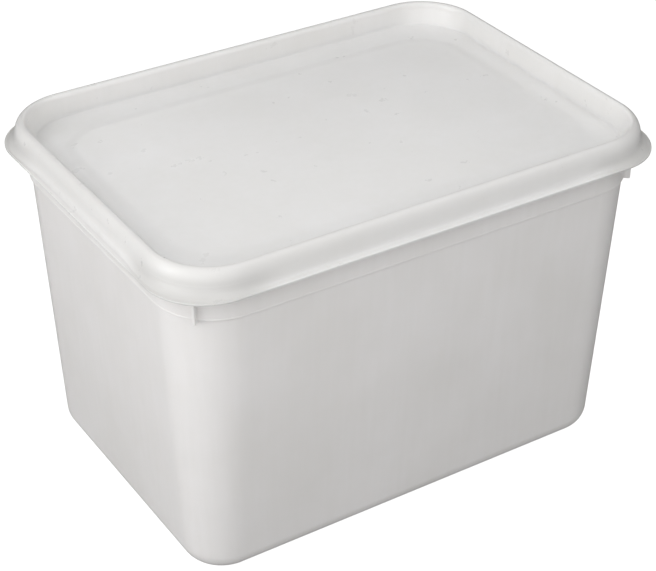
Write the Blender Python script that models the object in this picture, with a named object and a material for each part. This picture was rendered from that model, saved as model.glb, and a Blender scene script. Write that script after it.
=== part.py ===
"""Catering ice cream tub, about four litres, shut with its press-on lid.

Two closed solids stand in one frame: "tub", the tapered container with a step
line, a rim band and a thin rib under the lid at each corner, and "lid", the
press-on cover with its raised bead, flared lip, ledge and raised panel.  Lengths
are in metres and +Z is up.  The origin is at the centre of the underside, X runs
along the long side and Y across it.

Every level of both pieces is one rounded rectangle.  It is named by how far it
lies inside the lip's edge, its height and its corner radius, and neighbouring
levels are joined by quads.
"""

import math

import bmesh
import bpy

MM = 0.001

# Overall size: the lid's lip is the widest part of the pack.
LID_LENGTH = 229.0 * MM
LID_WIDTH = 166.3 * MM
LID_TOP = 151.4 * MM

# Tub: the wall is named by its inset from the lip's edge at the floor and at the step.
WALL_INSET_FLOOR = 14.1 * MM
WALL_INSET_STEP = 7.55 * MM
WALL_RADIUS_FLOOR = 17.5 * MM
WALL_RADIUS_STEP = 24.8 * MM
FLOOR_ROUND = 9.7 * MM
STEP_Z = 127.7 * MM

# The step line is a small ridge, and the rim band above it stands a little prouder
# than the wall below.
RIDGE_INSET = 6.7 * MM
RIDGE_HALF = 0.5 * MM
BAND_INSET = 6.85 * MM
BAND_RADIUS = 25.4 * MM
RIM_THICK = 0.85 * MM
RIM_TOP = 142.6 * MM
RIM_FLOOR = 140.0 * MM

# One rib on the diagonal of each corner, under the lip.
RIB_THICK = 1.3 * MM
RIB_REACH = 3.3 * MM
RIB_ROOT = 0.3 * MM
RIB_BOTTOM = 126.3 * MM
RIB_TOP = 141.9 * MM
RIB_CHAMFER = 0.5 * MM

# Lid: lip and flared skirt.  The skirt springs from the bead higher up at the corners.
LIP_Z = 139.9 * MM
LIP_THICK = 1.0 * MM
LIP_RADIUS = 25.0 * MM
LIP_FLAT_SIDE = 1.6 * MM
LIP_FLAT_CORNER = 0.7 * MM
WAIST_SIDE = 143.3 * MM
WAIST_CORNER = 144.9 * MM
SKIRT_THICK = 0.95 * MM
KNEE_SIDE = 0.12
KNEE_CORNER = 0.40

# Lid: bead, a tall narrow arch of two quarter ellipses that meet at the crown.
BEAD_INSET = 2.9 * MM
BEAD_RADIUS = 29.0 * MM
BEAD_DRAFT = 0.1 * MM
CROWN_INSET = 6.2 * MM
CROWN_RADIUS = 24.3 * MM
ARCH_OUT = 6.0 * MM
ARCH_IN = 2.4 * MM
BEAD_INSIDE = 8.2 * MM
FOOT_INSET = 8.6 * MM
FOOT_RADIUS = 26.0 * MM
FOOT_ROUND = 0.8 * MM

# Lid: flat ledge inside the bead, then a panel that rises softly from it.
LEDGE_Z = 141.5 * MM
LEDGE_INSET_ENDS = 16.9 * MM
LEDGE_INSET_SIDES = 20.6 * MM
LEDGE_RADIUS = 23.6 * MM
PANEL_RISE = 0.8 * MM
PANEL_SLOPE = 7.0 * MM
PLUG_Z = 140.3 * MM
GAP = 0.3 * MM

# Facets.
CORNER_SEGMENTS = 12
ROUND_SEGMENTS = 5
ARCH_SEGMENTS = 7
SKIRT_SEGMENTS = 4
RUN_OUT = (1.0, 0.95, 0.10, 0.0)
RUN_OUT_REACH = 46.5 * MM
SHARP_ANGLE = math.radians(32.0)

HALF_X = LID_LENGTH / 2
HALF_Y = LID_WIDTH / 2


def lerp(start, end, share):
    """Point a given share of the way from start to end."""
    return start + (end - start) * share


def level(inset, height, radius, inset_ends=None):
    """One rounded rectangle: insets at the long sides and the ends, height, corner radius."""
    return (inset if inset_ends is None else inset_ends, inset, height, radius)


def wall_level(height):
    """The tapered wall's rounded rectangle at a height."""
    share = height / STEP_Z
    return level(
        lerp(WALL_INSET_FLOOR, WALL_INSET_STEP, share),
        height,
        lerp(WALL_RADIUS_FLOOR, WALL_RADIUS_STEP, share),
    )


def outline(ring, run_out):
    """Corner weights and plan points of a level, anticlockwise from the end of the +X side.

    Each corner is an arc.  With run_out, each straight side gets extra points next to its
    corners, on which the corner's form fades out; weight is 1 on an arc and 0 mid-side.
    """
    inset_x, inset_y, _, radius = ring
    centre_x = HALF_X - inset_x - radius
    centre_y = HALF_Y - inset_y - radius
    fades = RUN_OUT[1:] if run_out else ()
    points = []
    for quarter, (side_x, side_y) in enumerate(((1, 1), (-1, 1), (-1, -1), (1, -1))):
        along_x = quarter % 2 == 1
        before = []
        after = []
        for number, weight in enumerate(fades, start=1):
            share = number / len(fades)
            on_x = lerp(centre_x, HALF_X - RUN_OUT_REACH, share) * side_x
            on_y = lerp(centre_y, HALF_Y - RUN_OUT_REACH, share) * side_y
            edge_x = (HALF_X - inset_x) * side_x
            edge_y = (HALF_Y - inset_y) * side_y
            near_x = (weight, on_x, edge_y)
            near_y = (weight, edge_x, on_y)
            before.insert(0, near_x if along_x else near_y)
            after.append(near_y if along_x else near_x)
        points += before
        for step in range(CORNER_SEGMENTS + 1):
            angle = (quarter + step / CORNER_SEGMENTS) * math.pi / 2
            x = centre_x * side_x + radius * math.cos(angle)
            y = centre_y * side_y + radius * math.sin(angle)
            points.append((1.0, x, y))
        points += after
    return points


def loft(name, side_levels, corner_levels=None):
    """Closed solid through a stack of levels, from its underside round to its top.

    side_levels is the section in the middle of a side.  corner_levels, where given, is the
    section at a corner, and the two blend along each side.  The first and the last level
    are filled flat.
    """
    run_out = corner_levels is not None
    mesh = bpy.data.meshes.new(name)
    work = bmesh.new()
    loops = []
    for number, side in enumerate(side_levels):
        corner = corner_levels[number] if run_out else side
        loop = []
        pairs = zip(outline(side, run_out), outline(corner, run_out))
        for (weight, side_x, side_y), (_, corner_x, corner_y) in pairs:
            x = lerp(side_x, corner_x, weight)
            y = lerp(side_y, corner_y, weight)
            z = lerp(side[2], corner[2], weight)
            loop.append(work.verts.new((x, y, z)))
        loops.append(loop)
    count = len(loops[0])
    for lower, upper in zip(loops, loops[1:]):
        for index in range(count):
            following = (index + 1) % count
            corners = (lower[index], lower[following], upper[following], upper[index])
            work.faces.new(corners)
    work.faces.new(reversed(loops[0]))
    work.faces.new(loops[-1])
    bmesh.ops.recalc_face_normals(work, faces=work.faces)
    work.to_mesh(mesh)
    work.free()
    thing = bpy.data.objects.new(name, mesh)
    bpy.context.scene.collection.objects.link(thing)
    return thing


def tub_levels():
    """The container's section, from the floor up the wall to the rim and its recessed top."""
    low = wall_level(FLOOR_ROUND)
    levels = []
    for step in range(ROUND_SEGMENTS + 1):
        angle = step / ROUND_SEGMENTS * math.pi / 2
        inward = FLOOR_ROUND * (1 - math.sin(angle))
        height = FLOOR_ROUND * (1 - math.cos(angle))
        levels.append(level(low[1] + inward, height, low[3] - inward))
    under = wall_level(STEP_Z - 2 * RIDGE_HALF)
    ridge_radius = BAND_RADIUS + BAND_INSET - RIDGE_INSET
    levels.append(under)
    levels.append(level(RIDGE_INSET + 0.1 * MM, STEP_Z - RIDGE_HALF, ridge_radius))
    levels.append(level(RIDGE_INSET, STEP_Z, ridge_radius))
    levels.append(level(RIDGE_INSET + 0.1 * MM, STEP_Z + RIDGE_HALF, ridge_radius))
    levels.append(level(BAND_INSET, STEP_Z + 2 * RIDGE_HALF, BAND_RADIUS))
    inner_radius = BAND_RADIUS - RIM_THICK
    levels.append(level(BAND_INSET, RIM_TOP - 0.2 * MM, BAND_RADIUS))
    levels.append(level(BAND_INSET + 0.2 * MM, RIM_TOP, BAND_RADIUS - 0.2 * MM))
    levels.append(level(BAND_INSET + RIM_THICK, RIM_TOP, inner_radius))
    levels.append(level(BAND_INSET + RIM_THICK, RIM_FLOOR, inner_radius))
    return levels


def lid_levels(waist, lip_flat):
    """The lid's section, from the plug's underside round the lip and bead to the panel."""
    plug_inset = BAND_INSET + RIM_THICK + GAP
    plug_radius = BAND_RADIUS - RIM_THICK - GAP
    groove_z = RIM_TOP + GAP
    lip_top = LIP_Z + LIP_THICK
    levels = [
        level(plug_inset, PLUG_Z, plug_radius),
        level(plug_inset, groove_z, plug_radius),
        level(BEAD_INSET + SKIRT_THICK, groove_z, BEAD_RADIUS - 0.4 * MM),
        level(3.1 * MM, 141.2 * MM, 26.3 * MM),
        level(1.8 * MM, LIP_Z + 0.12 * MM, 25.7 * MM),
        level(0.6 * MM, LIP_Z, 25.2 * MM),
        level(0.15 * MM, LIP_Z + 0.15 * MM, LIP_RADIUS),
        level(0.0, LIP_Z + 0.45 * MM, LIP_RADIUS),
        level(0.1 * MM, lip_top - 0.15 * MM, LIP_RADIUS),
        level(0.4 * MM, lip_top, LIP_RADIUS),
    ]
    # Skirt: a concave curve from the lip's flat up to the bead, tight at the sides and
    # fuller at the corners.
    fullness = (waist - WAIST_SIDE) / (WAIST_CORNER - WAIST_SIDE)
    knee_z = lerp(lip_top, waist, lerp(KNEE_SIDE, KNEE_CORNER, fullness))
    for step in range(SKIRT_SEGMENTS + 1):
        share = step / SKIRT_SEGMENTS
        out = (1 - share) ** 2
        mid = 2 * share * (1 - share)
        inn = share**2
        inset = lip_flat * out + (BEAD_INSET - 0.15 * MM) * mid + BEAD_INSET * inn
        height = (lip_top + 0.05 * MM) * out + knee_z * mid + waist * inn
        radius = lerp(LIP_RADIUS, BEAD_RADIUS, inset / BEAD_INSET)
        levels.append(level(inset, height, radius))
    # Bead: the outer quarter ellipse up to the crown, then the inner one down from it.
    bead_out = BEAD_INSET + BEAD_DRAFT
    for step in range(ARCH_SEGMENTS + 1):
        angle = step / ARCH_SEGMENTS * math.pi / 2
        inset = lerp(CROWN_INSET, bead_out, math.cos(angle))
        height = LID_TOP - ARCH_OUT * (1 - math.sin(angle))
        levels.append(level(inset, height, lerp(CROWN_RADIUS, BEAD_RADIUS, math.cos(angle))))
    for step in range(1, ARCH_SEGMENTS + 1):
        angle = step / ARCH_SEGMENTS * math.pi / 2
        inset = lerp(CROWN_INSET, BEAD_INSIDE, math.sin(angle))
        height = LID_TOP - ARCH_IN * (1 - math.cos(angle))
        levels.append(level(inset, height, CROWN_RADIUS - (inset - CROWN_INSET)))
    # Inner wall down to the foot, then the ledge.
    for step in range(4):
        angle = step / 3 * math.pi / 2
        inset = FOOT_INSET + FOOT_ROUND * (1 - math.cos(angle))
        height = LEDGE_Z + FOOT_ROUND * (1 - math.sin(angle))
        levels.append(level(inset, height, FOOT_RADIUS))
    # Raised panel: a soft S-shaped slope.
    for step in range(5):
        share = step / 4
        inward = PANEL_SLOPE * share
        height = LEDGE_Z + PANEL_RISE * share * share * (3 - 2 * share)
        radius = LEDGE_RADIUS - inward
        levels.append(level(LEDGE_INSET_SIDES + inward, height, radius, LEDGE_INSET_ENDS + inward))
    return levels


def corner_ribs():
    """Closed upright plates on the four corner diagonals, with a chamfered lower outer edge."""
    mesh = bpy.data.meshes.new("corner_ribs")
    work = bmesh.new()
    _, inset, _, radius = wall_level(STEP_Z)
    wall_x = HALF_X - inset - radius + radius / math.sqrt(2)
    wall_y = HALF_Y - inset - radius + radius / math.sqrt(2)
    profile = (
        (-RIB_ROOT, RIB_BOTTOM),
        (RIB_REACH - RIB_CHAMFER, RIB_BOTTOM),
        (RIB_REACH, RIB_BOTTOM + RIB_CHAMFER),
        (RIB_REACH, RIB_TOP),
        (-RIB_ROOT, RIB_TOP),
    )
    for side_x, side_y in ((1, 1), (-1, 1), (-1, -1), (1, -1)):
        out_x = side_x / math.sqrt(2)
        out_y = side_y / math.sqrt(2)
        rings = []
        for half in (-RIB_THICK / 2, RIB_THICK / 2):
            ring = []
            for reach, height in profile:
                x = wall_x * side_x + reach * out_x - half * out_y
                y = wall_y * side_y + reach * out_y + half * out_x
                ring.append(work.verts.new((x, y, height)))
            rings.append(ring)
        work.faces.new(rings[0])
        work.faces.new(reversed(rings[1]))
        for index in range(len(profile)):
            following = (index + 1) % len(profile)
            near, far = rings
            work.faces.new((near[following], near[index], far[index], far[following]))
    bmesh.ops.recalc_face_normals(work, faces=work.faces)
    work.to_mesh(mesh)
    work.free()
    thing = bpy.data.objects.new("corner_ribs", mesh)
    bpy.context.scene.collection.objects.link(thing)
    return thing


def fuse(thing, tool):
    """Join the tool to the thing with a Boolean, and keep the tool as a wire guide."""
    join = thing.modifiers.new("Join " + tool.name, "BOOLEAN")
    join.operation = "UNION"
    join.solver = "EXACT"
    join.object = tool
    tool.hide_render = True
    tool.display_type = "WIRE"
    tool.parent = thing


def plastic(name, colour, roughness):
    """Principled material of a pigmented polypropylene."""
    material = bpy.data.materials.new(name)
    material.use_nodes = True
    shader = material.node_tree.nodes["Principled BSDF"]
    shader.inputs["Base Color"].default_value = (*colour, 1.0)
    shader.inputs["Roughness"].default_value = roughness
    shader.inputs["Metallic"].default_value = 0.0
    material.diffuse_color = (*colour, 1.0)
    return material


def finish(thing, material):
    """Give the piece its material and smooth shading with sharp creases kept."""
    thing.data.materials.append(material)
    thing.data.shade_smooth()
    thing.data.set_sharp_from_angle(angle=SHARP_ANGLE)


def main():
    """Build both pieces."""
    for thing in list(bpy.data.objects):
        bpy.data.objects.remove(thing, do_unlink=True)

    tub = loft("tub", tub_levels())
    fuse(tub, corner_ribs())
    finish(tub, plastic("tub_polypropylene", (0.70, 0.69, 0.68), 0.34))

    side = lid_levels(WAIST_SIDE, LIP_FLAT_SIDE)
    corner = lid_levels(WAIST_CORNER, LIP_FLAT_CORNER)
    lid = loft("lid", side, corner)
    finish(lid, plastic("lid_polypropylene", (0.74, 0.73, 0.72), 0.30))


main()
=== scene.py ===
"""Catering ice cream tub, shut with its press-on lid: the visible skins, materials and stage.

Two closed skins stand for the two packed solids.  "container" is the tapered tub with its
rounded floor edge, step line, rim band and corner ribs.  "press_on_lid" is the cover with
its flared lip, raised bead, ledge and panel.  Both are grids of rounded rectangles.  Lengths
are in metres, +Z is up, and the origin is at the centre of the underside.
"""

import math

import bpy
import numpy as np
from mathutils import Matrix, Vector


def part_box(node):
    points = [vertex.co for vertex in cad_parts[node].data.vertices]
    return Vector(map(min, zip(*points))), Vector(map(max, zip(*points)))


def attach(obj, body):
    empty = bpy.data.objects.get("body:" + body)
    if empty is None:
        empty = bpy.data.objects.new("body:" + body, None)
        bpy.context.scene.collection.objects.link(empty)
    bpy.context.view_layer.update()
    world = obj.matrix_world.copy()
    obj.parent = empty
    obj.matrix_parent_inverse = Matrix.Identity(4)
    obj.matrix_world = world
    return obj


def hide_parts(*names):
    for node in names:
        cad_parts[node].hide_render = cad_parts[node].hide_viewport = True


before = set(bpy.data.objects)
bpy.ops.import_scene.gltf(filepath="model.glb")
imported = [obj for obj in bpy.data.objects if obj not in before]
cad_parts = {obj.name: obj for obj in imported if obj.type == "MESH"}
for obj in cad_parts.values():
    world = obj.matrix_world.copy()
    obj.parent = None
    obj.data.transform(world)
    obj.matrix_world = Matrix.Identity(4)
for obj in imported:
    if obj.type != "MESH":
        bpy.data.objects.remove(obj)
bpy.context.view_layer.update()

bl_info = {
    "name": "Catering Ice Cream Tub",
    "version": (1, 0, 0),
    "blender": (4, 5, 0),
    "location": "View3D > Sidebar > Ice Cream Tub",
    "description": "Makes a shut rectangular polypropylene tub with its press-on lid",
    "category": "Add Mesh",
}

MM = 0.001
LID_LOW, LID_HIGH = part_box("lid")
HALF_X = (LID_HIGH.x - LID_LOW.x) / 2
HALF_Y = (LID_HIGH.y - LID_LOW.y) / 2
CENTRE_X = (LID_HIGH.x + LID_LOW.x) / 2
CENTRE_Y = (LID_HIGH.y + LID_LOW.y) / 2

# A corner's form dies away along the straight side that starts STRAIGHT_START from the lip's
# edge.  It is kept whole for RUN_OUT_KEPT, fades over RUN_OUT_FADE, and has gone by
# RUN_OUT_REACH from the lip's edge.
STRAIGHT_START = 25.0 * MM
RUN_OUT_REACH = 46.5 * MM
RUN_OUT_KEPT = 0.5 * MM
RUN_OUT_FADE = 20.5 * MM

# Columns of the grids: on a quarter arc, on a run-out, and the spacing mid-side.
ARC_STEPS = 40
RUN_STEPS = 20
MIDDLE_STEP = 6.0 * MM

# Angles at a corner, in degrees: its diagonal, the arc beside it that can hold a rib, and the
# space left between a rib's columns and the plain ones.
DIAGONAL = 45.0
RIB_ARC = 6.0
RIB_CLEARANCE = 0.4
# Angle in radians that stands for a column far from any diagonal.
FAR_OFF = 9.0
ROOT_TWO = math.sqrt(2.0)

# Size of the ring next to a pole, as a share of its level's full size.
POLE_RING = 0.06


# ---------------------------------------------------------------- sizes and colours


def millimetres(name, description, default):
    """A length property shown in the unit of the scene, stored in metres."""
    return bpy.props.FloatProperty(
        name=name,
        description=description,
        default=default * MM,
        min=0.0,
        soft_max=0.3,
        precision=5,
        unit="LENGTH",
        subtype="DISTANCE",
    )


def srgb(code):
    """Linear colour of an sRGB hex value, by the exact piecewise curve."""
    parts = [int(code[index : index + 2], 16) / 255.0 for index in (0, 2, 4)]
    return tuple(p / 12.92 if p <= 0.04045 else ((p + 0.055) / 1.055) ** 2.4 for p in parts)


def colour(name, description, code):
    """A colour property with an sRGB hex default."""
    return bpy.props.FloatVectorProperty(
        name=name,
        description=description,
        default=srgb(code),
        min=0.0,
        max=1.0,
        size=3,
        subtype="COLOR",
    )


class ContainerSizes(bpy.types.PropertyGroup):
    """Sizes of the tapered container."""

    floor_inset: millimetres("Floor inset", "Wall's inset from the lip's edge at floor level", 14.1)
    step_inset: millimetres("Step inset", "Wall's inset from the lip's edge at the step", 7.55)
    floor_radius: millimetres("Floor corner radius", "Corners' plan radius at floor", 17.5)
    step_radius: millimetres("Step corner radius", "Corners' plan radius under the step", 24.8)
    floor_round: millimetres("Floor edge round", "Radius of the edge between wall and floor", 9.7)
    step_height: millimetres("Step height", "Height of the step line", 127.7)
    ridge_inset: millimetres("Ridge inset", "Inset of the step line's crest", 6.7)
    band_inset: millimetres("Band inset", "Inset of the rim band above the step", 6.85)
    band_radius: millimetres("Band corner radius", "Plan radius of the band's corners", 25.4)
    rim_wall: millimetres("Rim wall", "Wall thickness at the rim", 0.85)
    rim_top: millimetres("Rim height", "Height of the rim's top", 142.6)
    rib_thickness: millimetres("Rib thickness", "Thickness of a corner rib", 1.3)
    rib_reach: millimetres("Rib reach", "How far a corner rib stands out from the wall", 3.3)
    rib_bottom: millimetres("Rib bottom", "Height of the ribs' lower end", 126.3)
    rib_top: millimetres("Rib top", "Height of the ribs' upper end", 141.9)
    foot_recess: millimetres("Foot recess", "Depth of the underside's shallow recess", 0.5)


class LidSizes(bpy.types.PropertyGroup):
    """Sizes of the press-on lid."""

    lip_thickness: millimetres("Lip thickness", "Thickness of the flared lip's edge", 1.0)
    lip_radius: millimetres("Lip corner radius", "Plan radius of the lip's corners", 25.0)
    flat_side: millimetres("Lip flat, sides", "Width of the flat strip on the lip, mid-side", 1.6)
    flat_corner: millimetres("Lip flat, corners", "Width of the flat strip at a corner", 0.7)
    waist_side: millimetres("Waist, sides", "Height of the skirt's upper end, mid-side", 143.3)
    waist_corner: millimetres("Waist, corners", "Height of the skirt's upper end, corners", 144.9)
    skirt_thickness: millimetres("Skirt thickness", "Thickness of the flared skirt", 0.95)
    bead_inset: millimetres("Bead inset", "Inset of the bead's outer wall", 2.9)
    bead_radius: millimetres("Bead corner radius", "Plan radius of the bead's corners", 26.4)
    crown_inset: millimetres("Crown inset", "Inset of the bead's highest line", 6.2)
    crown_radius: millimetres("Crown corner radius", "Plan radius of the highest line", 24.3)
    arch_out: millimetres("Outer arch", "Height of the elliptic arch outside the crown", 6.0)
    arch_in: millimetres("Inner arch", "Height of the elliptic arch inside the crown", 2.4)
    bead_inside: millimetres("Bead inner inset", "Inset at which the inner arch ends", 8.2)
    foot_inset: millimetres("Inner wall inset", "Inset of the inner wall at its foot", 8.6)
    foot_radius: millimetres("Inner corner radius", "Plan radius of the inner wall's foot", 26.0)
    foot_round: millimetres("Foot fillet", "Fillet between the inner wall and the ledge", 0.8)
    ledge_height: millimetres("Ledge height", "Height of the ledge inside the bead", 141.5)
    ledge_ends: millimetres("Ledge, ends", "Inset of the panel's slope, short sides", 16.9)
    ledge_sides: millimetres("Ledge, sides", "Inset of the panel's slope, long sides", 20.6)
    ledge_radius: millimetres("Ledge corner radius", "Plan radius of the slope's start", 23.6)
    panel_rise: millimetres("Panel rise", "How far the panel stands above the ledge", 0.8)
    panel_slope: millimetres("Panel slope", "Width of the soft slope round the panel", 7.0)
    panel_crown: millimetres("Panel crown", "How far the panel's middle arches up", 0.35)
    plug_height: millimetres("Plug height", "Height of the lid's plain underside", 140.3)
    gap: millimetres("Seat gap", "Clearance between the lid and the tub's rim", 0.3)


class TubColours(bpy.types.PropertyGroup):
    """Colours of the plastic and the paper sweep."""

    container: colour("Container", "Natural white polypropylene of the container", "EDEBEA")
    container_haze: colour("Container haze", "Faint clouds in the container's plastic", "E8E6E4")
    lid: colour("Lid", "White polypropylene of the lid", "EEEDEC")
    lid_haze: colour("Lid haze", "Faint clouds in the lid's plastic", "EAE9E7")
    # Painted shade: a greyer tone put on the lid's skirt, corner flares and bead.
    painted_shade: colour("Single wall", "Greyer tone where one flared wall stands alone", "D0CFCD")
    paper: colour("Paper", "Matt white background paper", "B8B8B7")


# ---------------------------------------------------------------- rounded-rectangle grids


def smooth(share):
    """Smooth step of a share cut to 0..1: 3 t^2 - 2 t^3."""
    share = np.clip(share, 0.0, 1.0)
    return share * share * (3.0 - 2.0 * share)


def quadratic(start, knee, end, run):
    """Points of the quadratic curve (1-t)^2 start + 2t(1-t) knee + t^2 end at each t of run."""
    curve = np.outer((1 - run) ** 2, start) + np.outer(2 * run * (1 - run), knee)
    return curve + np.outer(run**2, end)


class Columns:
    """The columns of a grid of rounded rectangles, anticlockwise from the end of the +X side.

    A column's point on a level of insets (ix, iy) and corner radius r is
    x = at_x (HALF_X - ix - r) + out_x r + fixed_x, and the same for y.  On an arc at_x and
    at_y are the corner's signs and out_x, out_y the arc's cosine and sine.  On a straight
    side the point slides from the arc's end to a fixed place, at RUN_OUT_REACH from the
    lip's edge.  weight is 1 at a corner and fades smoothly to 0 along a side.  off_diagonal
    is the angle from the corner's diagonal in radians, and FAR_OFF away from the rib.
    """

    # Rows of the table of columns: three pairs for x and y, then two single ones.
    FIELDS = 8
    AT, OUT, FIXED, WEIGHT, OFF_DIAGONAL = 0, 2, 4, 6, 7

    def __init__(self, extra_degrees=()):
        extra = np.asarray(extra_degrees, float)
        base = np.linspace(0.0, 90.0, ARC_STEPS + 1)
        if extra.size:
            low = DIAGONAL + extra.min() - RIB_CLEARANCE
            high = DIAGONAL + extra.max() + RIB_CLEARANCE
            clear = (base < low) | (base > high)
            base = np.sort(np.concatenate((base[clear], DIAGONAL + extra)))
        share = np.linspace(0.0, 1.0, RUN_STEPS + 1)[1:]
        run_length = RUN_OUT_REACH - STRAIGHT_START
        fade = 1.0 - smooth((share * run_length - RUN_OUT_KEPT) / RUN_OUT_FADE)
        off_diagonal = np.radians(base - DIAGONAL)
        off_diagonal = np.where(np.abs(base - DIAGONAL) <= RIB_ARC, off_diagonal, FAR_OFF)
        parts = []
        for quarter, (sx, sy) in enumerate(((1, 1), (-1, 1), (-1, -1), (1, -1))):
            along_x = quarter % 2 == 1
            before = self.straight(sx, sy, along_x, share[::-1], fade[::-1])
            after = self.straight(sx, sy, not along_x, share, fade)
            turn = np.radians(base + 90.0 * quarter)
            arc = np.zeros((self.FIELDS, turn.size))
            arc[self.AT], arc[self.AT + 1] = sx, sy
            arc[self.OUT], arc[self.OUT + 1] = np.cos(turn), np.sin(turn)
            arc[self.WEIGHT] = 1.0
            arc[self.OFF_DIAGONAL] = off_diagonal
            parts += [before, arc, after, self.middle(sx, sy, not along_x)]
        table = np.concatenate(parts, axis=1)
        self.at_x, self.at_y = table[self.AT : self.OUT]
        self.out_x, self.out_y = table[self.OUT : self.FIXED]
        self.fixed_x, self.fixed_y = table[self.FIXED : self.WEIGHT]
        self.weight, self.off_diagonal = table[self.WEIGHT :]

    def side(self, count, sign, hold):
        """Columns on a straight side, held at the wall along one axis and free on the other."""
        part = np.zeros((self.FIELDS, count))
        part[self.OFF_DIAGONAL] = FAR_OFF
        part[self.AT + hold] = sign[hold]
        part[self.OUT + hold] = sign[hold]
        return part

    def straight(self, sx, sy, along_x, share, fade):
        """Columns on a straight side next to a corner: the arc's end slid towards the middle."""
        slide, hold = (0, 1) if along_x else (1, 0)
        sign = (sx, sy)
        half = (HALF_X, HALF_Y)
        part = self.side(share.size, sign, hold)
        part[self.AT + slide] = sign[slide] * (1.0 - share)
        part[self.FIXED + slide] = sign[slide] * (half[slide] - RUN_OUT_REACH) * share
        part[self.WEIGHT] = fade
        return part

    def middle(self, sx, sy, along_x):
        """Columns in the middle of the side that follows a corner, at fixed places."""
        slide, hold = (0, 1) if along_x else (1, 0)
        sign = (sx, sy)
        reach = (HALF_X, HALF_Y)[slide] - RUN_OUT_REACH
        steps = max(2, round(2 * reach / MIDDLE_STEP))
        place = np.linspace(1.0, -1.0, steps + 1)[1:-1] * reach
        part = self.side(place.size, sign, hold)
        part[self.FIXED + slide] = sign[slide] * place
        return part

    def points(self, levels):
        """x, y and z arrays, one row for each level, drawn in by the level's scale."""
        inset_x, inset_y, height, radius, scale = (levels[:, [index]] for index in range(5))
        x = self.at_x * (HALF_X - inset_x - radius) + self.out_x * radius + self.fixed_x
        y = self.at_y * (HALF_Y - inset_y - radius) + self.out_y * radius + self.fixed_y
        return x * scale, y * scale, np.broadcast_to(height, x.shape)


def closed_skin(name, x, y, z, shade_share=None):
    """Closed mesh of a grid whose first and last rows shrink onto a pole each.

    Rows are levels from the underside's middle outwards, up and in again to the top's
    middle, and columns go anticlockwise, so that the quad (row, column), (row, next),
    (row above, next), (row above, column) faces outwards.  Each pole is the mean of its
    row, joined to it by triangles.  A point attribute holds the shares of painted shade,
    from 0 to 1, and 0 at the poles.
    """
    rows, columns = x.shape
    grid = np.stack((x + CENTRE_X, y + CENTRE_Y, z), axis=-1).reshape(-1, 3)
    poles = np.stack((grid[:columns].mean(axis=0), grid[-columns:].mean(axis=0)))
    points = np.concatenate((grid, poles))
    here = np.arange(columns)
    following = (here + 1) % columns
    base = np.arange(rows - 1)[:, None] * columns
    quads = np.stack(
        (base + here, base + following, base + columns + following, base + columns + here),
        axis=-1,
    ).reshape(-1, 4)
    low_pole, high_pole = rows * columns, rows * columns + 1
    last = (rows - 1) * columns
    low = np.stack((following, here, np.full(columns, low_pole)), axis=-1)
    high = np.stack((last + here, last + following, np.full(columns, high_pole)), axis=-1)
    corners = np.concatenate((quads.ravel(), low.ravel(), high.ravel())).astype(np.int32)
    sizes = np.concatenate((np.full(len(quads), 4), np.full(2 * columns, 3)))
    starts = np.concatenate(([0], np.cumsum(sizes)[:-1])).astype(np.int32)
    mesh = bpy.data.meshes.new(name)
    mesh.vertices.add(len(points))
    mesh.vertices.foreach_set("co", points.ravel())
    mesh.loops.add(len(corners))
    mesh.loops.foreach_set("vertex_index", corners)
    mesh.polygons.add(len(sizes))
    mesh.polygons.foreach_set("loop_start", starts)
    mesh.update(calc_edges=True)
    mesh.validate()
    mesh.shade_smooth()
    share = np.zeros(len(points))
    if shade_share is not None:
        share[:-2] = np.broadcast_to(shade_share, x.shape).ravel()
    mesh.attributes.new("painted_shade", "FLOAT", "POINT").data.foreach_set("value", share)
    thing = bpy.data.objects.new(name, mesh)
    bpy.context.scene.collection.objects.link(thing)
    return thing


def stack(*runs):
    """One table of levels: inset at the ends, inset at the sides, height, radius and scale."""
    tables = []
    for run in runs:
        columns = [np.atleast_1d(np.asarray(column, float)) for column in run]
        tables.append(np.stack(np.broadcast_arrays(*columns), axis=1))
    return np.concatenate(tables)


def concentric(inset, height, radius, scale=1.0):
    """A run of levels whose insets are the same at the ends and the sides."""
    return (inset, inset, height, radius, scale)


# ---------------------------------------------------------------- container


# Section of a rib 1.3 mm thick: distance from its middle plane, and how much of the rib's
# full reach the skin has there.
RIB_ACROSS = np.array([1.45, 1.05, 0.86, 0.74, 0.67, 0.635, 0.60, 0.52, 0.36, 0.0]) * MM
RIB_SHARE = np.array([0.0, 0.0, 0.008, 0.035, 0.10, 0.90, 0.955, 0.985, 1.0, 1.0])
RIB_DRAWN_AT = 1.3 * MM
# The same for a rib's two ends: height inside the end, and the share of the reach there.
RIB_UP = np.array([-0.15, 0.0, 0.03, 0.10, 0.25, 0.5]) * MM
RIB_UP_SHARE = np.array([0.0, 0.04, 0.78, 0.90, 0.97, 1.0])

# Underside: width of the flat foot ring and of the ease into the recess inside it, and the
# smallest corner radii of the two.
FOOT_RING = 2.5 * MM
RECESS_EASE = 2.2 * MM
FOOT_RADIUS_LEAST = 2.0 * MM
RECESS_RADIUS_LEAST = 1.5 * MM
# Step line: half the height of its crest, and where the wall's inset starts to turn into the
# band's and how much height that takes.
CREST_HALF = 0.55 * MM
CHANGE_BELOW = 0.75 * MM
CHANGE_TAKES = 0.7 * MM
# Rows of the wall, measured from the step line: coarse ones end FAR_BELOW it and start again
# FAR_ABOVE it, and the ones between are close together.
FAR_BELOW = 6.0 * MM
NEAR_BELOW = (4.0 * MM, 1.5 * MM)
STEP_ROWS = np.linspace(-1.3, 1.5, 29) * MM
FAR_ABOVE = 2.0 * MM
# The last coarse row under the ribs' upper end, a row past each end, and the wall's last row
# under the rim's top.
UNDER_RIB_TOP = 0.8 * MM
PAST_RIB = -0.5 * MM
UNDER_RIM_TOP = 0.25 * MM
# Rim: height of its rounded top, and depths inside it of the inner face's lower row and of
# the level that closes the tub.
RIM_ROUND = 0.2 * MM
RIM_INSIDE = 1.4 * MM
RIM_CLOSED = 2.6 * MM


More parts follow.
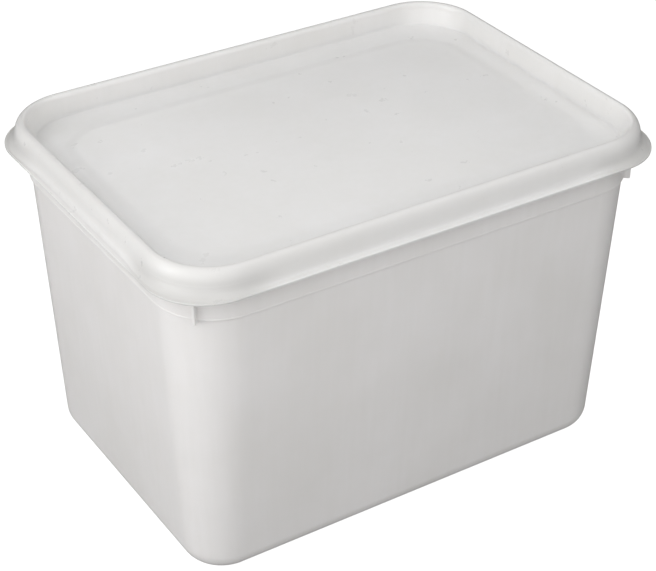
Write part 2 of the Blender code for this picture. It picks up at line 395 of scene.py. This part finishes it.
def container_levels(s):
    """The container's section as levels, from the underside's middle up to the rim and in.

    The floor edge is a quarter round of radius floor_round, inset = low + R (1 - sin a) and
    height = R (1 - cos a).  The wall's inset and radius change linearly with height.  The
    step line is a bump (1 + cos a)/2 on top of a smooth change from the wall's inset to the
    band's.
    """
    slope_inset = (s.step_inset - s.floor_inset) / s.step_height
    slope_radius = (s.step_radius - s.floor_radius) / s.step_height
    low_inset = s.floor_inset + slope_inset * s.floor_round
    low_radius = s.floor_radius + slope_radius * s.floor_round
    turn = np.linspace(0.0, math.pi / 2, 17)
    round_inset = low_inset + s.floor_round * (1 - np.sin(turn))
    round_height = s.floor_round * (1 - np.cos(turn))
    round_radius = low_radius - s.floor_round * (1 - np.sin(turn))

    # Underside: a shallow recess inside a flat foot ring.
    foot_inset = round_inset[0] + FOOT_RING
    foot_radius = max(round_radius[0] - FOOT_RING, FOOT_RADIUS_LEAST)
    rings = np.linspace(POLE_RING, 0.96, 9)
    recess_inset = foot_inset + RECESS_EASE
    recess_radius = max(foot_radius - RECESS_EASE, RECESS_RADIUS_LEAST)
    middle = concentric(recess_inset, s.foot_recess, recess_radius, rings)
    ease = np.linspace(0.0, 1.0, 7)
    bowl = concentric(
        recess_inset - RECESS_EASE * ease,
        s.foot_recess * (1 - smooth(ease)),
        recess_radius + (foot_radius - recess_radius) * ease,
    )

    # Wall, step line and rim band as functions of height.
    rib = np.concatenate(([PAST_RIB], RIB_UP))
    near = [s.step_height - below for below in NEAR_BELOW]
    heights = np.unique(
        np.concatenate(
            (
                np.linspace(s.floor_round, s.step_height - FAR_BELOW, 22)[1:],
                np.linspace(*near, 6),
                s.rib_bottom + rib,
                s.step_height + STEP_ROWS,
                np.linspace(s.step_height + FAR_ABOVE, s.rib_top - UNDER_RIB_TOP, 10),
                s.rib_top - rib,
                [s.rim_top - UNDER_RIM_TOP],
            )
        )
    )
    over = heights - s.step_height
    wall_inset = s.floor_inset + slope_inset * np.minimum(heights, s.step_height)
    wall_radius = s.floor_radius + slope_radius * np.minimum(heights, s.step_height)
    change = smooth((over + CHANGE_BELOW) / CHANGE_TAKES)
    crest = 0.5 + 0.5 * np.cos(np.clip(over / CREST_HALF, -1.0, 1.0) * math.pi)
    inset = wall_inset + (s.band_inset - wall_inset) * change
    inset = inset - (s.band_inset - s.ridge_inset) * crest
    radius = wall_radius + (s.band_radius - wall_radius) * change
    wall = concentric(inset, heights, radius)

    # Rim, hidden under the lid, and the level it is closed at.
    rim_turn = np.linspace(0.0, math.pi, 7)
    rim_half = s.rim_wall / 2
    rim = concentric(
        s.band_inset + rim_half * (1 - np.cos(rim_turn)),
        s.rim_top - RIM_ROUND + RIM_ROUND * np.sin(rim_turn),
        s.band_radius - rim_half * (1 - np.cos(rim_turn)),
    )
    inner = s.band_inset + s.rim_wall
    inner_radius = s.band_radius - s.rim_wall
    inside_heights = [s.rim_top - RIM_INSIDE, s.rim_top - RIM_CLOSED]
    inside = concentric(inner, inside_heights, inner_radius)
    cover_rings = np.array([0.97, 0.9, 0.7, 0.45, 0.2, POLE_RING])
    cover = concentric(inner, s.rim_top - RIM_CLOSED, inner_radius, cover_rings)
    return stack(
        middle,
        bowl,
        concentric(round_inset, round_height, round_radius),
        wall,
        rim,
        inside,
        cover,
    )


def push_ribs_out(columns, levels, sizes, x, y):
    """Grid with a slim plate raised on each corner's diagonal.

    A point moves outwards along the diagonal by share_across(d) * share_up(z) times the
    distance from its level's corner to the rib's outer face, where d is its distance from
    the diagonal's plane.  Both shares are 1 on the plate, 0 off it, and turn in the small
    rounds at its edges.
    """
    height = levels[:, 2]
    inset, radius = levels[:, 1], levels[:, 3]
    wall_back = inset * ROOT_TWO + radius * (ROOT_TWO - 1)
    outer_back = sizes.step_inset * ROOT_TWO + sizes.step_radius * (ROOT_TWO - 1) - sizes.rib_reach
    travel = np.maximum(wall_back - outer_back, 0.0)
    low, high = sizes.rib_bottom, sizes.rib_top
    places = np.concatenate((low + RIB_UP, (high - RIB_UP)[::-1]))
    shares = np.concatenate((RIB_UP_SHARE, RIB_UP_SHARE[::-1]))
    share_up = np.interp(height, places, shares, 0.0, 0.0)
    off = np.abs(columns.off_diagonal) * sizes.step_radius
    scale = sizes.rib_thickness / RIB_DRAWN_AT
    share_across = np.interp(off, (RIB_ACROSS * scale)[::-1], RIB_SHARE[::-1], 1.0, 0.0)
    move = (travel * share_up)[:, None] * share_across / ROOT_TWO
    return x + move * np.sign(columns.at_x), y + move * np.sign(columns.at_y)


def make_container(sizes):
    """The container: one closed skin of rounded rectangles with its four corner ribs."""
    across = RIB_ACROSS * (sizes.rib_thickness / RIB_DRAWN_AT)
    angles = np.degrees(across / sizes.step_radius)
    columns = Columns(np.concatenate((-angles, angles[:-1])))
    levels = container_levels(sizes)
    x, y, z = columns.points(levels)
    x, y = push_ribs_out(columns, levels, sizes, x, y)
    return closed_skin("container", x, y, z)


# ---------------------------------------------------------------- lid


# Skirt's inner face: how much smaller its corner radius is than the bead's, how far the knee
# of its curve stands out from the bead and above the lip, and how far its outer end stands
# in from the lip's edge and above the lip.
SKIRT_RADIUS_LESS = 0.4 * MM
INNER_KNEE_OUT = 0.9 * MM
INNER_KNEE_UP = 0.3 * MM
INNER_END_IN = 1.2 * MM
INNER_END_UP = 0.02 * MM
# Rounds on the two edges of the lip.
LIP_ROUND = 0.32 * MM
# Skirt's outer face: how far it starts above the lip's flat, how far the knee of its curve
# stands out from the bead, and the knee's height as a share of the skirt's, mid-side and
# what a corner adds.
SKIRT_START_UP = 0.03 * MM
KNEE_OUT = 0.12 * MM
KNEE_HEIGHT = 0.10
KNEE_HEIGHT_MORE = 0.30
# How far the bead's outer wall leans in over its height.
BEAD_DRAFT = 0.1 * MM
# Angles of the rows on the bead's arches, closer together towards the crown.
ARCH_TURNS = np.radians([0, 8, 16, 24, 32, 40, 47, 54, 60, 66, 72, 78, 84, 90])
# Shares of painted shade, a greyer tone: on the bead, what its crown adds, and what a flared
# corner adds at its foot.  They die away over the edge width below, inside the crown.
BEAD_SHADE = 0.25
CROWN_SHADE = 0.3
FLARE_SHADE = 0.75
SHADE_EDGE = 1.0 * MM


def lid_levels(s, tub, waist, lip_flat, fullness):
    """The lid's section as levels, from its underside round the lip and bead to the panel.

    The bead is two elliptic arches, inset = c -+ A cos a and height = top - H (1 - sin a),
    and small rounds are the same with A = H.  The skirt is a quadratic curve from the lip's
    flat up to the bead, with its knee under the bead, low mid-side and higher at a corner.
    The panel rises from the ledge as rise (3 t^2 - 2 t^3), and its middle is arched as
    crown (1 - q^2).  s holds the lid's sizes and tub the container's, and fullness is 0
    mid-side and 1 at a corner.
    """
    lip_z = LID_LOW.z
    lip_top = lip_z + s.lip_thickness
    top = LID_HIGH.z

    # Underside: a plain plug clear inside the tub's rim, a groove over the rim, then the
    # open underside of the flared lip.
    plug_inset = tub.band_inset + tub.rim_wall + s.gap
    plug_radius = tub.band_radius - (plug_inset - tub.band_inset)
    groove = tub.rim_top + s.gap
    rings = np.linspace(POLE_RING, 0.98, 8)
    under = concentric(plug_inset, s.plug_height, plug_radius, rings)
    plug = concentric(plug_inset, np.linspace(s.plug_height, groove, 4), plug_radius)
    inner_skirt = s.bead_inset + s.skirt_thickness
    inner_radius = s.bead_radius - SKIRT_RADIUS_LESS
    groove_top = concentric(
        np.linspace(plug_inset, inner_skirt, 4)[1:],
        groove,
        np.linspace(plug_radius, inner_radius, 4)[1:],
    )
    run = np.linspace(0.0, 1.0, 9)[1:]
    start = np.array([inner_skirt, groove])
    knee = np.array([s.bead_inset - INNER_KNEE_OUT, lip_z + INNER_KNEE_UP])
    end = np.array([INNER_END_IN, lip_z + INNER_END_UP])
    curve = quadratic(start, knee, end, run)
    under_radius = inner_radius + (s.lip_radius - inner_radius) * run
    underside = concentric(curve[:, 0], curve[:, 1], under_radius)

    # Lip: a rounded edge, then the flat strip on its top.
    turn = np.linspace(0.0, math.pi / 2, 6)
    rising, levelling = LIP_ROUND * (1 - np.sin(turn)), LIP_ROUND * (1 - np.cos(turn))
    lip_low = concentric(rising, lip_z + levelling, s.lip_radius)
    lip_mid = concentric(0.0, lip_z + s.lip_thickness / 2, s.lip_radius)
    lip_high = concentric(levelling, lip_top - rising, s.lip_radius)

    # Skirt.
    run = np.linspace(0.0, 1.0, 15)
    start = np.array([lip_flat, lip_top + SKIRT_START_UP])
    knee_share = KNEE_HEIGHT + KNEE_HEIGHT_MORE * fullness
    knee = np.array([s.bead_inset - KNEE_OUT, lip_top + (waist - lip_top) * knee_share])
    end = np.array([s.bead_inset, waist])
    curve = quadratic(start, knee, end, run)
    skirt_radius = s.lip_radius + (s.bead_radius - s.lip_radius) * curve[:, 0] / s.bead_inset
    skirt = concentric(curve[:, 0], curve[:, 1], skirt_radius)

    # Bead: drafted outer wall, then an elliptic arch on each side of the crown.
    bead_out = s.bead_inset + BEAD_DRAFT
    rise = np.linspace(0.0, 1.0, 6)[1:-1]
    wall_inset = s.bead_inset + (bead_out - s.bead_inset) * rise
    wall_height = waist + (top - s.arch_out - waist) * rise
    outer_wall = concentric(wall_inset, wall_height, s.bead_radius)
    turn = ARCH_TURNS
    out_inset = s.crown_inset - (s.crown_inset - bead_out) * np.cos(turn)
    out_height = top - s.arch_out * (1 - np.sin(turn))
    out_radius = s.crown_radius + (s.bead_radius - s.crown_radius) * np.cos(turn)
    in_inset = s.crown_inset + (s.bead_inside - s.crown_inset) * np.sin(turn[1:])
    in_height = top - s.arch_in * (1 - np.cos(turn[1:]))
    outer = concentric(out_inset, out_height, out_radius)
    inner = concentric(in_inset, in_height, s.crown_radius + s.crown_inset - in_inset)

    # Inner wall, fillet and ledge.
    fall = np.linspace(0.0, 1.0, 9)[1:-1]
    inner_low = s.ledge_height + s.foot_round
    inner_plan = s.crown_radius + s.crown_inset - s.bead_inside
    inner_wall = concentric(
        s.bead_inside + (s.foot_inset - s.bead_inside) * fall,
        in_height[-1] + (inner_low - in_height[-1]) * fall,
        inner_plan + (s.foot_radius - inner_plan) * fall,
    )
    turn = np.linspace(0.0, math.pi / 2, 9)
    fillet = concentric(
        s.foot_inset + s.foot_round * (1 - np.cos(turn)),
        s.ledge_height + s.foot_round * (1 - np.sin(turn)),
        s.foot_radius,
    )
    foot_end = s.foot_inset + s.foot_round
    across = np.linspace(0.0, 1.0, 5)[1:-1]
    ledge = (
        foot_end + (s.ledge_ends - foot_end) * across,
        foot_end + (s.ledge_sides - foot_end) * across,
        s.ledge_height,
        s.foot_radius + (s.ledge_radius - s.foot_radius) * across,
        1.0,
    )
    share = np.linspace(0.0, 1.0, 13)
    slope = (
        s.ledge_ends + s.panel_slope * share,
        s.ledge_sides + s.panel_slope * share,
        s.ledge_height + s.panel_rise * smooth(share),
        s.ledge_radius - s.panel_slope * share,
        1.0,
    )
    rings = np.linspace(0.94, POLE_RING, 16)
    panel = (
        s.ledge_ends + s.panel_slope,
        s.ledge_sides + s.panel_slope,
        s.ledge_height + s.panel_rise + s.panel_crown * (1 - rings**2),
        s.ledge_radius - s.panel_slope,
        rings,
    )
    return stack(
        under,
        plug,
        groove_top,
        underside,
        lip_low,
        lip_mid,
        lip_high,
        skirt,
        outer_wall,
        outer,
        inner,
        inner_wall,
        fillet,
        ledge,
        slope,
        panel,
    )


def make_lid(sizes, tub):
    """The lid: one closed skin, whose section turns from the corners' into the sides'.

    Its share of painted shade is b + c h^2 + f (1 - h)^2 w outside the crown and 0 inside it,
    where b, c and f are the bead's, the crown's and the flare's shares, h goes from 0 at the
    skirt's upper end to 1 at the crown and w is the column's weight.
    """
    columns = Columns()
    side = lid_levels(sizes, tub, sizes.waist_side, sizes.flat_side, 0.0)
    corner = lid_levels(sizes, tub, sizes.waist_corner, sizes.flat_corner, 1.0)
    side_grid = columns.points(side)
    corner_grid = columns.points(corner)
    x, y, z = (a + (b - a) * columns.weight for a, b in zip(side_grid, corner_grid))
    past_crown = sizes.crown_inset + SHADE_EDGE - side[:, [0]]
    outside = np.clip(past_crown / SHADE_EDGE, 0.0, 1.0)
    above = np.clip((z - sizes.waist_side) / (LID_HIGH.z - sizes.waist_side), 0.0, 1.0)
    flared = FLARE_SHADE * (1.0 - above) ** 2 * columns.weight
    shade_share = outside * (BEAD_SHADE + CROWN_SHADE * above**2 + flared)
    return closed_skin("press_on_lid", x, y, z, shade_share)


# ---------------------------------------------------------------- materials


# Sockets of a mix node by number: the factor, the two numbers and their result, and the two
# colours and theirs.
MIX_FACTOR, NUMBER_A, NUMBER_B, COLOUR_A, COLOUR_B = 0, 2, 3, 6, 7
NUMBER_RESULT, COLOUR_RESULT = 0, 2

# Finish of the plastic, the same on both pieces but for the roughness.
CONTAINER_ROUGHNESS = 0.36
LID_ROUGHNESS = 0.30
SUBSURFACE = 0.3
BLEED = 3.0 * MM
POLYPROPYLENE_IOR = 1.49
STREAK_SHARE = 0.25

# Light that the paper gives back of its own, so that it stays an even pale tone.
PAPER_GLOW = 0.85
PALER = 1.015


def add_node(tree, kind, inputs=None, **settings):
    """A node with its settings, whose inputs are values or other nodes' output sockets."""
    node = tree.nodes.new(kind)
    for name, value in settings.items():
        setattr(node, name, value)
    for name, value in (inputs or {}).items():
        if isinstance(value, bpy.types.NodeSocket):
            tree.links.new(value, node.inputs[name])
        else:
            node.inputs[name].default_value = value
    return node


def moulded_polypropylene(name, body, haze, shade_tone, roughness):
    """Injection-moulded polypropylene, natural white and slightly translucent.

    The eye gets a milky satin plastic: soft broad highlights that a slow warp of the wall
    bends a little, light that bleeds a few millimetres under the skin, and faint clouds and
    flow streaks of the melt.  body and haze are the plastic's two tones.  The third colour is
    painted shade, a greyer tone mixed in where the mesh attribute of painted shade is 1.
    """
    material = bpy.data.materials.new(name)
    material.use_nodes = True
    tree = material.node_tree
    tree.nodes.clear()
    place = add_node(tree, "ShaderNodeTexCoord").outputs["Object"]
    # Clouds in the melt about 40 mm across.
    clouds = add_node(
        tree,
        "ShaderNodeTexNoise",
        {"Vector": place, "Scale": 1 / (40 * MM), "Detail": 3.0, "Roughness": 0.55},
    )
    # Flow streaks 3 mm wide and 60 mm long, running up from the base.
    stretched = add_node(
        tree,
        "ShaderNodeMapping",
        {"Vector": place, "Scale": (1 / (3 * MM), 1 / (3 * MM), 1 / (60 * MM))},
    )
    streaks = add_node(
        tree,
        "ShaderNodeTexNoise",
        {"Vector": stretched.outputs["Vector"], "Scale": 1.0, "Detail": 2.0},
    )
    mixed = add_node(
        tree,
        "ShaderNodeMix",
        {
            MIX_FACTOR: STREAK_SHARE,
            NUMBER_A: clouds.outputs["Fac"],
            NUMBER_B: streaks.outputs["Fac"],
        },
        data_type="FLOAT",
    )
    tint = add_node(
        tree,
        "ShaderNodeMapRange",
        {"Value": mixed.outputs[NUMBER_RESULT], "From Min": 0.35, "From Max": 0.65},
    )
    base = add_node(
        tree,
        "ShaderNodeMix",
        {MIX_FACTOR: tint.outputs["Result"], COLOUR_A: (*body, 1.0), COLOUR_B: (*haze, 1.0)},
        data_type="RGBA",
    )
    # Painted shade: the mesh attribute mixes a greyer tone into the lid's skirt, corner flares and
    # bead.
    shade_share = add_node(tree, "ShaderNodeAttribute", attribute_name="painted_shade")
    shade = add_node(
        tree,
        "ShaderNodeMix",
        {
            MIX_FACTOR: shade_share.outputs["Fac"],
            COLOUR_A: base.outputs[COLOUR_RESULT],
            COLOUR_B: (*shade_tone, 1.0),
        },
        data_type="RGBA",
    )
    # Gloss changes in patches about 8 mm across.
    patches = add_node(
        tree,
        "ShaderNodeTexNoise",
        {"Vector": place, "Scale": 1 / (8 * MM), "Detail": 4.0, "Roughness": 0.6},
    )
    gloss = add_node(
        tree,
        "ShaderNodeMapRange",
        {
            "Value": patches.outputs["Fac"],
            "From Min": 0.3,
            "From Max": 0.7,
            "To Min": roughness - 0.03,
            "To Max": roughness + 0.04,
        },
    )
    # Slow warp of the wall, 25 mm across and 0.05 mm deep.
    warp = add_node(
        tree,
        "ShaderNodeTexNoise",
        {"Vector": place, "Scale": 1 / (25 * MM), "Detail": 1.0},
    )
    slow = add_node(
        tree,
        "ShaderNodeBump",
        {"Height": warp.outputs["Fac"], "Strength": 1.0, "Distance": 0.05 * MM},
    )
    shader = add_node(
        tree,
        "ShaderNodeBsdfPrincipled",
        {
            "Base Color": shade.outputs[COLOUR_RESULT],
            "Roughness": gloss.outputs["Result"],
            "Normal": slow.outputs["Normal"],
            "IOR": POLYPROPYLENE_IOR,
            "Subsurface Weight": SUBSURFACE,
            "Subsurface Radius": (1.0, 0.96, 0.92),
            "Subsurface Scale": BLEED,
        },
    )
    add_node(tree, "ShaderNodeOutputMaterial", {"Surface": shader.outputs["BSDF"]})
    material.diffuse_color = (*body, 1.0)
    return material


def matt_paper(name, body):
    """Matt background paper: an even pale diffuse surface with a faint mottle."""
    material = bpy.data.materials.new(name)
    material.use_nodes = True
    tree = material.node_tree
    tree.nodes.clear()
    place = add_node(tree, "ShaderNodeTexCoord").outputs["Object"]
    mottle = add_node(
        tree, "ShaderNodeTexNoise", {"Vector": place, "Scale": 1 / (60 * MM), "Detail": 3.0}
    )
    paler = tuple(min(1.0, part * PALER) for part in body)
    base = add_node(
        tree,
        "ShaderNodeMix",
        {MIX_FACTOR: mottle.outputs["Fac"], COLOUR_A: (*body, 1.0), COLOUR_B: (*paler, 1.0)},
        data_type="RGBA",
    )
    shader = add_node(
        tree,
        "ShaderNodeBsdfPrincipled",
        {
            "Base Color": base.outputs[COLOUR_RESULT],
            "Roughness": 0.9,
            "Specular IOR Level": 0.0,
            "Emission Color": (1.0, 1.0, 1.0, 1.0),
            "Emission Strength": PAPER_GLOW,
        },
    )
    add_node(tree, "ShaderNodeOutputMaterial", {"Surface": shader.outputs["BSDF"]})
    return material


# ---------------------------------------------------------------- stage


CAMERA_PLACE = Vector((-352.714, -553.284, 494.314)) * MM
CAMERA_AZIMUTH = -32.549
CAMERA_ELEVATION = 32.88
CAMERA_ROLL = 0.244
SENSOR_WIDTH = 36.0
# The lens sees a frame 656 wide from 1821.8 away.
CAMERA_LENS = SENSOR_WIDTH * 1821.8 / 656.0

# Every light is aimed here.
AIM = Vector((0.0, 0.0, 75.0 * MM))

# Soft boxes: name, azimuth and elevation in degrees, distance, width, height, watts.
# Azimuth 0 stands in front of the long side and -90 beyond the short side at -X.
SOFT_BOXES = (
    ("top", 0.0, 89.0, 0.90, 0.60, 0.60, 0.39),
    ("near_left_front_low", -60.0, 15.0, 0.50, 0.25, 0.20, 0.20),
    ("near_front_left_low", -30.0, 15.0, 0.50, 0.25, 0.20, 0.15),
    ("near_front_low", 0.0, 15.0, 0.50, 0.25, 0.20, 0.09),
    ("near_back_left", -120.0, 40.0, 0.50, 0.25, 0.20, 0.17),
    ("near_left_front", -60.0, 40.0, 0.50, 0.25, 0.20, 0.06),
    ("near_front_left", -30.0, 40.0, 0.50, 0.25, 0.20, 0.16),
    ("near_front", 0.0, 40.0, 0.50, 0.25, 0.20, 0.13),
    ("near_front_right", 30.0, 40.0, 0.50, 0.25, 0.20, 0.13),
    ("near_front_high", 0.0, 65.0, 0.50, 0.25, 0.20, 0.12),
    ("near_right_high", 60.0, 65.0, 0.50, 0.25, 0.20, 0.17),
    ("near_left_low", -90.0, 12.0, 0.50, 0.25, 0.20, 0.29),
    ("left_low", -90.0, 20.0, 1.20, 0.60, 0.50, 2.00),
    ("left_front_low", -45.0, 20.0, 1.20, 0.60, 0.50, 0.08),
    ("left", -90.0, 45.0, 1.20, 0.60, 0.50, 1.95),
    ("front_right", 45.0, 45.0, 1.20, 0.60, 0.50, 0.77),
)

# Cards that only show as reflections: the same columns.
GLOSS_CARDS = (
    ("card_back_right", 145.0, 45.0, 1.00, 0.28, 0.20, 0.09),
    ("card_back", 165.0, 45.0, 1.00, 0.28, 0.20, 0.22),
    ("card_back_right_low", 145.0, 33.0, 1.00, 0.28, 0.20, 0.23),
    ("card_back_low", 165.0, 33.0, 1.00, 0.28, 0.20, 0.34),
)

# Strengths of the surroundings above and below the horizon, and half the band between them.
WORLD_ABOVE = 0.32
WORLD_BELOW = 0.48
HORIZON = 0.02
FLOOR_RADIUS = 8.0


def floor_sheet(name, radius):
    """Flat disc at z = 0, whose rings stand at radius t^2 and so crowd inwards."""
    turns = np.linspace(0.0, 2 * math.pi, 65)[:-1]
    rings = radius * np.linspace(0.1, 1.0, 12) ** 2
    x = np.outer(rings, np.cos(turns))
    y = np.outer(rings, np.sin(turns))
    points = np.stack((x, y, np.zeros_like(x)), axis=-1).reshape(-1, 3)
    points = np.concatenate((points, [[0.0, 0.0, 0.0]]))
    count = len(turns)
    here = np.arange(count)
    following = (here + 1) % count
    base = np.arange(len(rings) - 1)[:, None] * count
    quads = np.stack(
        (base + here, base + count + here, base + count + following, base + following), axis=-1
    ).reshape(-1, 4)
    fan = np.stack((here, following, np.full(count, len(points) - 1)), axis=-1)
    mesh = bpy.data.meshes.new(name)
    mesh.from_pydata(points.tolist(), [], quads.tolist() + fan.tolist())
    mesh.update()
    thing = bpy.data.objects.new(name, mesh)
    bpy.context.scene.collection.objects.link(thing)
    return thing


def towards(azimuth, elevation):
    """Unit vector at an azimuth and elevation in degrees, (sin a cos e, -cos a cos e, sin e)."""
    turn, rise = math.radians(azimuth), math.radians(elevation)
    return Vector(
        (math.sin(turn) * math.cos(rise), -math.cos(turn) * math.cos(rise), math.sin(rise))
    )


def soft_box(name, azimuth, elevation, distance, width, height, watts):
    """Rectangular area light aimed at the tub, at a distance along an azimuth and elevation."""
    away = towards(azimuth, elevation)
    data = bpy.data.lights.new(name, "AREA")
    data.shape = "RECTANGLE"
    data.size, data.size_y = width, height
    data.energy = watts
    lamp = bpy.data.objects.new(name, data)
    lamp.visible_camera = False
    lamp.matrix_world = Matrix.Translation(AIM + away * distance) @ (
        away.to_track_quat("Z", "Y").to_matrix().to_4x4()
    )
    bpy.context.scene.collection.objects.link(lamp)
    return lamp


def studio_camera():
    """Camera turned by azimuth, elevation and roll: its axes are across, upwards and back."""
    turn, roll = math.radians(CAMERA_AZIMUTH), math.radians(CAMERA_ROLL)
    back = towards(CAMERA_AZIMUTH, CAMERA_ELEVATION)
    right = Vector((math.cos(turn), math.sin(turn), 0.0))
    up = back.cross(right)
    across = right * math.cos(roll) + up * math.sin(roll)
    upwards = up * math.cos(roll) - right * math.sin(roll)
    data = bpy.data.cameras.new("studio_camera")
    data.sensor_fit = "HORIZONTAL"
    data.sensor_width = SENSOR_WIDTH
    data.lens = CAMERA_LENS
    data.clip_start, data.clip_end = 0.01, 50.0
    camera = bpy.data.objects.new("studio_camera", data)
    camera.matrix_world = Matrix.Translation(CAMERA_PLACE) @ Matrix(
        (across, upwards, back)
    ).transposed().to_4x4()
    bpy.context.scene.collection.objects.link(camera)
    bpy.context.scene.camera = camera


def studio_world(above, below):
    """Even surroundings: one strength above the horizon and one below it.

    What is below stands for the light that a wide white sweep throws back.
    """
    world = bpy.data.worlds.new("studio_surroundings")
    world.use_nodes = True
    tree = world.node_tree
    direction = add_node(tree, "ShaderNodeTexCoord").outputs["Generated"]
    parts = add_node(tree, "ShaderNodeSeparateXYZ", {"Vector": direction})
    level = add_node(
        tree,
        "ShaderNodeMapRange",
        {
            "Value": parts.outputs["Z"],
            "From Min": -HORIZON,
            "From Max": HORIZON,
            "To Min": below,
            "To Max": above,
        },
    )
    background = tree.nodes["Background"]
    background.inputs["Color"].default_value = (1.0, 1.0, 1.0, 1.0)
    tree.links.new(level.outputs["Result"], background.inputs["Strength"])
    bpy.context.scene.world = world
    world.cycles_visibility.glossy = False


# ---------------------------------------------------------------- operators and panel


class MakeContainer(bpy.types.Operator):
    """Make the tapered container with its step line, rim band and corner ribs"""

    bl_idname = "ice_cream_tub.make_container"
    bl_label = "Make Container"

    def execute(self, context):
        shades = context.scene.tub_colours
        piece = make_container(context.scene.container_sizes)
        piece.data.materials.append(
            moulded_polypropylene(
                "container_moulded_polypropylene",
                shades.container,
                shades.container_haze,
                shades.painted_shade,
                CONTAINER_ROUGHNESS,
            )
        )
        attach(piece, "root")
        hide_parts("tub")
        return {"FINISHED"}


class MakeLid(bpy.types.Operator):
    """Make the press-on lid with its flared lip, bead, ledge and panel"""

    bl_idname = "ice_cream_tub.make_lid"
    bl_label = "Make Lid"

    def execute(self, context):
        shades = context.scene.tub_colours
        piece = make_lid(context.scene.lid_sizes, context.scene.container_sizes)
        piece.data.materials.append(
            moulded_polypropylene(
                "lid_moulded_polypropylene",
                shades.lid,
                shades.lid_haze,
                shades.painted_shade,
                LID_ROUGHNESS,
            )
        )
        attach(piece, "root")
        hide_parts("lid")
        return {"FINISHED"}


class MakeStage(bpy.types.Operator):
    """Make the pale floor, the soft boxes, the surroundings and the camera"""

    bl_idname = "ice_cream_tub.make_stage"
    bl_label = "Make Stage"

    def execute(self, context):
        floor = floor_sheet("paper_floor", FLOOR_RADIUS)
        floor.data.materials.append(matt_paper("matt_paper", context.scene.tub_colours.paper))
        floor.visible_diffuse = floor.visible_glossy = floor.visible_shadow = False
        for box in SOFT_BOXES:
            soft_box(*box)
        for card in GLOSS_CARDS:
            soft_box(*card).visible_diffuse = False
        studio_world(WORLD_ABOVE, WORLD_BELOW)
        studio_camera()
        context.scene.view_settings.view_transform = "Standard"
        context.scene.view_settings.look = "None"
        return {"FINISHED"}


class TubPanel(bpy.types.Panel):
    """Sizes, colours and the steps that make the tub"""

    bl_idname = "VIEW3D_PT_ice_cream_tub"
    bl_label = "Ice Cream Tub"
    bl_space_type = "VIEW_3D"
    bl_region_type = "UI"
    bl_category = "Ice Cream Tub"

    def draw(self, context):
        column = self.layout.column()
        for operator in (MakeContainer, MakeLid, MakeStage):
            column.operator(operator.bl_idname)
        for name, group in SETTINGS.items():
            settings = getattr(context.scene, name)
            box = column.box()
            box.label(text=group.__doc__)
            for key in group.__annotations__:
                box.prop(settings, key)


SETTINGS = {
    "container_sizes": ContainerSizes,
    "lid_sizes": LidSizes,
    "tub_colours": TubColours,
}
CLASSES = (
    ContainerSizes,
    LidSizes,
    TubColours,
    MakeContainer,
    MakeLid,
    MakeStage,
    TubPanel,
)


def register():
    """Register the classes and hang the settings on the scene."""
    for kind in CLASSES:
        bpy.utils.register_class(kind)
    for name, group in SETTINGS.items():
        setattr(bpy.types.Scene, name, bpy.props.PointerProperty(type=group))


def unregister():
    """Undo register."""
    for name in SETTINGS:
        delattr(bpy.types.Scene, name)
    for kind in reversed(CLASSES):
        bpy.utils.unregister_class(kind)


def main():
    """Make the pieces and the stage."""
    register()
    bpy.ops.ice_cream_tub.make_container()
    bpy.ops.ice_cream_tub.make_lid()
    bpy.ops.ice_cream_tub.make_stage()


if __name__ == "__main__":
    main()
